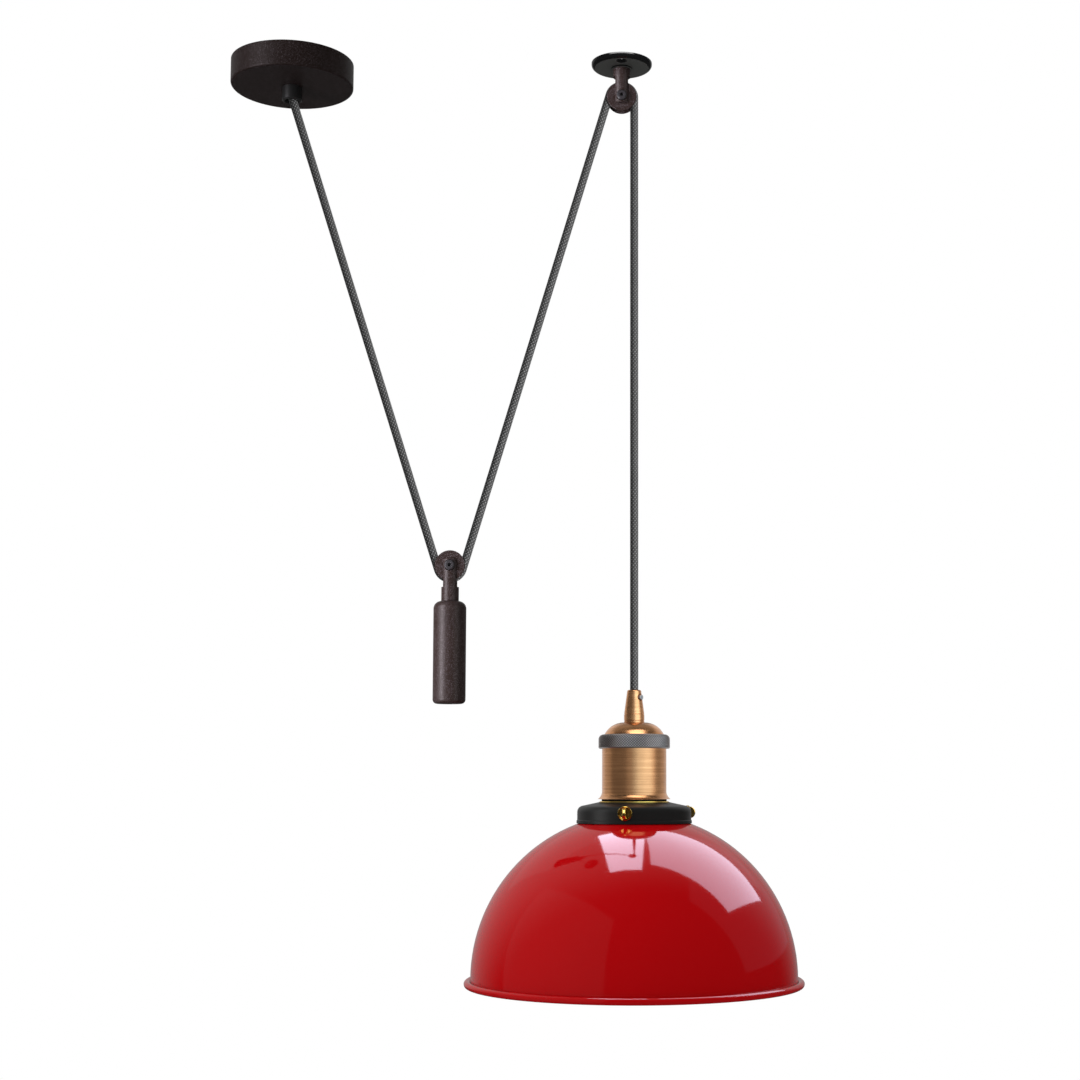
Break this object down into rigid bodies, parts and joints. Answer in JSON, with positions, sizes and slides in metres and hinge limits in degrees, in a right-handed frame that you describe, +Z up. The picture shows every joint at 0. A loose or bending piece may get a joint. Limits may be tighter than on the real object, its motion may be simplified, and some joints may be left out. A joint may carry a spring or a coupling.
{
  "type": "rise and fall pendant",
  "caption": "Rise and fall pendant light: ceiling rose, braided flex through a counterweight wheel and a ceiling pulley, knurled lampholder and dome shade.",
  "frame": {"origin": "centre of the ceiling rose's face against the ceiling", "axes": "+Z up out of the lamp towards the ceiling, +X from the rose towards the ceiling pulley, the flex hangs in the plane y = 0"},
  "size_m": [0.4293, 0.2466, 0.6917],
  "materials": {
    "bronze_coat": "fine satin powder coat",
    "gloss_black": "gloss lacquer",
    "satin_black": "satin lacquer",
    "black_oxide": "black oxide",
    "zinc": "bright zinc",
    "brass": "polished",
    "copper": "brushed antique copper plate",
    "pewter": "diamond knurl, dark pewter",
    "braid": "grey and black braided sleeve",
    "porcelain": "glazed ceramic",
    "terminal_nylon": "natural nylon",
    "nylon_black": "moulded nylon",
    "core_brown": "insulation",
    "core_blue": "insulation",
    "core_green": "insulation",
    "fibre": "black fibre washer",
    "ballast": "as cast",
    "red_enamel": "gloss enamel"
  },
  "bodies": {
    "ceiling": {"rose_cup": "bronze_coat", "rose_strap": "zinc", "rose_nipple": "zinc", "rose_locknuts": "zinc", "rose_earth_screw": "brass", "rose_grip": "nylon_black", "rose_grip_screw": "nylon_black", "terminal_block": "terminal_nylon", "terminal_screws": "brass", "rose_core_live": "core_brown", "rose_core_neutral": "core_blue", "rose_core_earth": "core_green", "pulley_plate": "gloss_black", "plate_screw": "black_oxide", "upper_fork": "bronze_coat", "upper_axle_screw": "black_oxide", "upper_axle_nut": "black_oxide", "upper_sleeve": "brass", "flex_tail": "braid", "flex_rose_arm": "braid", "flex_rising_arm": "braid", "flex_upper_loop": "braid"},
    "upper_wheel": {"upper_wheel": "bronze_coat"},
    "flex_carriage": {"flex_lower_loop": "braid"},
    "counterweight": {"lower_fork": "bronze_coat", "lower_axle_screw": "black_oxide", "lower_axle_nut": "black_oxide", "lower_sleeve": "brass", "weight_barrel": "bronze_coat", "weight_slug": "ballast", "weight_plug": "bronze_coat"},
    "lower_wheel": {"lower_wheel": "bronze_coat"},
    "drop_flex": {"flex_drop": "braid"},
    "lamp": {"flex_lamp_tail": "braid", "holder_grip": "copper", "holder_grip_screw": "zinc", "holder_cap": "copper", "holder_ring": "pewter", "holder_body": "copper", "insulator": "porcelain", "screw_shell": "brass", "centre_contact": "brass", "holder_terminals": "brass", "terminal_clamps": "zinc", "lamp_core_live": "core_brown", "lamp_core_neutral": "core_blue", "lamp_core_earth": "core_green", "holder_earth_screw": "brass", "neck_washer": "fibre", "brass_washer": "brass", "gallery": "satin_black", "gallery_nut": "satin_black", "gallery_screws": "brass", "shade": "red_enamel"}
  },
  "joints": [
    {"name": "lamp_swing", "type": "hinge", "parent": "ceiling", "child": "drop_flex", "pos_m": [0.26, 0, -0.0385], "axis": [1, 0, 0], "range_deg": [-12, 12]},
    {"name": "lamp_height", "type": "slide", "parent": "drop_flex", "child": "lamp", "axis": [0, 0, 1], "range_m": [-0.28, 0.085], "deforming": ["flex_drop"]},
    {"name": "counterweight_travel", "type": "slide", "parent": "ceiling", "child": "flex_carriage", "axis": [0, 0, 1], "range_m": [-0.047, 0.153], "deforming": ["flex_rose_arm", "flex_rising_arm"]},
    {"name": "counterweight_swing", "type": "hinge", "parent": "flex_carriage", "child": "counterweight", "pos_m": [0.1237, 0, -0.385], "axis": [0, 1, 0], "range_deg": [-10, 10]},
    {"name": "lower_wheel_spin", "type": "hinge", "parent": "counterweight", "child": "lower_wheel", "pos_m": [0.1237, 0, -0.385], "axis": [0, 1, 0], "continuous": true},
    {"name": "upper_wheel_spin", "type": "hinge", "parent": "ceiling", "child": "upper_wheel", "pos_m": [0.2505, 0, -0.027], "axis": [0, 1, 0], "continuous": true}
  ],
  "couplings": [
    {"joint": "counterweight_travel", "follows": "lamp_height", "ratio": -0.545},
    {"joint": "upper_wheel_spin", "follows": "lamp_height", "rad_per_m": -105.26},
    {"joint": "lower_wheel_spin", "follows": "lamp_height", "rad_per_m": 52.632}
  ]
}
